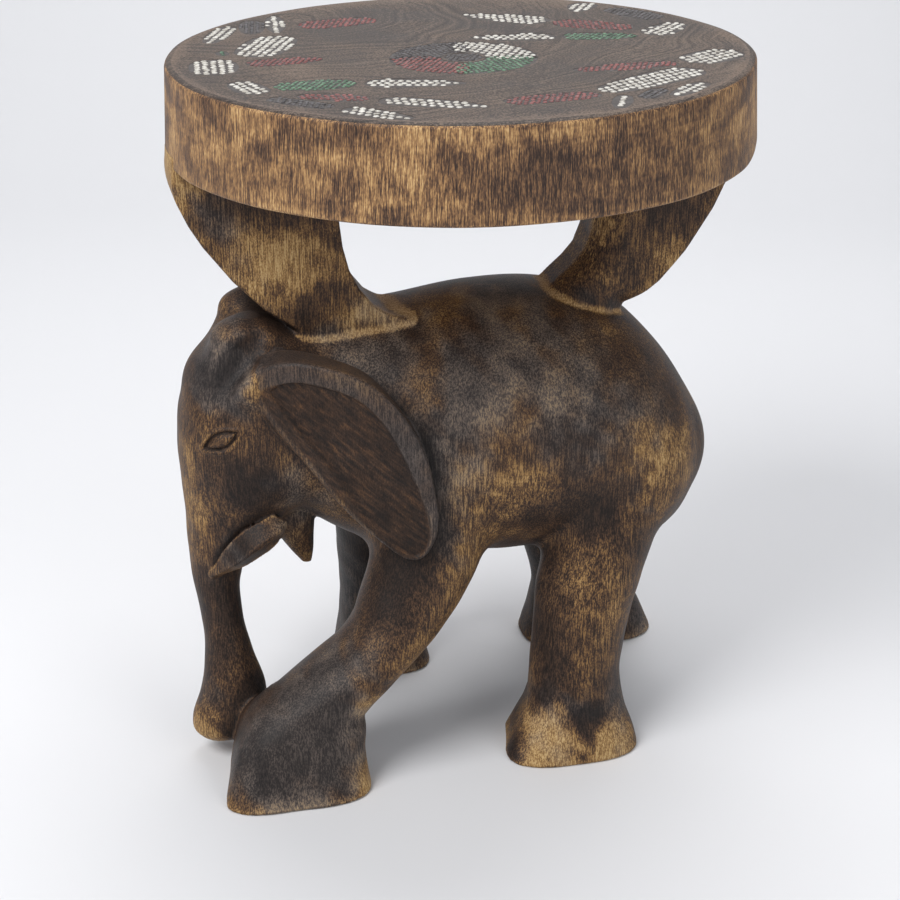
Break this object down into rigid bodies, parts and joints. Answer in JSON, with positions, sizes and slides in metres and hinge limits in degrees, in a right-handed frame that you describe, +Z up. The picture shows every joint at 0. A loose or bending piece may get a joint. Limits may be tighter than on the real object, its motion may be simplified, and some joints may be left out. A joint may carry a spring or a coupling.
{
  "type": "carved elephant stool",
  "caption": "Round wooden stool carved from one log: a walking elephant carries the seat on two curved supports, and coloured beads are set into the seat's top.",
  "frame": {"origin": "on the floor under the seat's axis, at the middle of the bounding box's base", "axes": "+Z up, -X the way the elephant faces, -Y the elephant's left side"},
  "size_m": [0.2744, 0.2699, 0.3505],
  "materials": {
    "carved_wood": "dark brown stain and wax on a dense hardwood, worn through to tan on raised edges",
    "beads_white": "opaque white glass seed beads set in dark resin",
    "beads_red": "opaque dark red glass seed beads set in dark resin",
    "beads_green": "opaque green glass seed beads set in dark resin",
    "beads_black": "opaque black glass seed beads set in dark resin"
  },
  "bodies": {
    "root": {"beads_black_1": "beads_black", "beads_black_2": "beads_black", "beads_black_3": "beads_black", "beads_black_4": "beads_black", "beads_green_1": "beads_green", "beads_green_2": "beads_green", "beads_green_3": "beads_green", "beads_red_1": "beads_red", "beads_red_2": "beads_red", "beads_red_3": "beads_red", "beads_red_4": "beads_red", "beads_red_5": "beads_red", "beads_red_6": "beads_red", "beads_rosette_black": "beads_black", "beads_rosette_green": "beads_green", "beads_rosette_hub": "beads_black", "beads_rosette_red": "beads_red", "beads_rosette_white": "beads_white", "beads_white_1": "beads_white", "beads_white_10": "beads_white", "beads_white_11": "beads_white", "beads_white_12": "beads_white", "beads_white_13": "beads_white", "beads_white_14": "beads_white", "beads_white_15": "beads_white", "beads_white_16": "beads_white", "beads_white_2": "beads_white", "beads_white_3": "beads_white", "beads_white_4": "beads_white", "beads_white_5": "beads_white", "beads_white_6": "beads_white", "beads_white_7": "beads_white", "beads_white_8": "beads_white", "beads_white_9": "beads_white", "carved_stool": "carved_wood"}
  },
  "joints": []
}
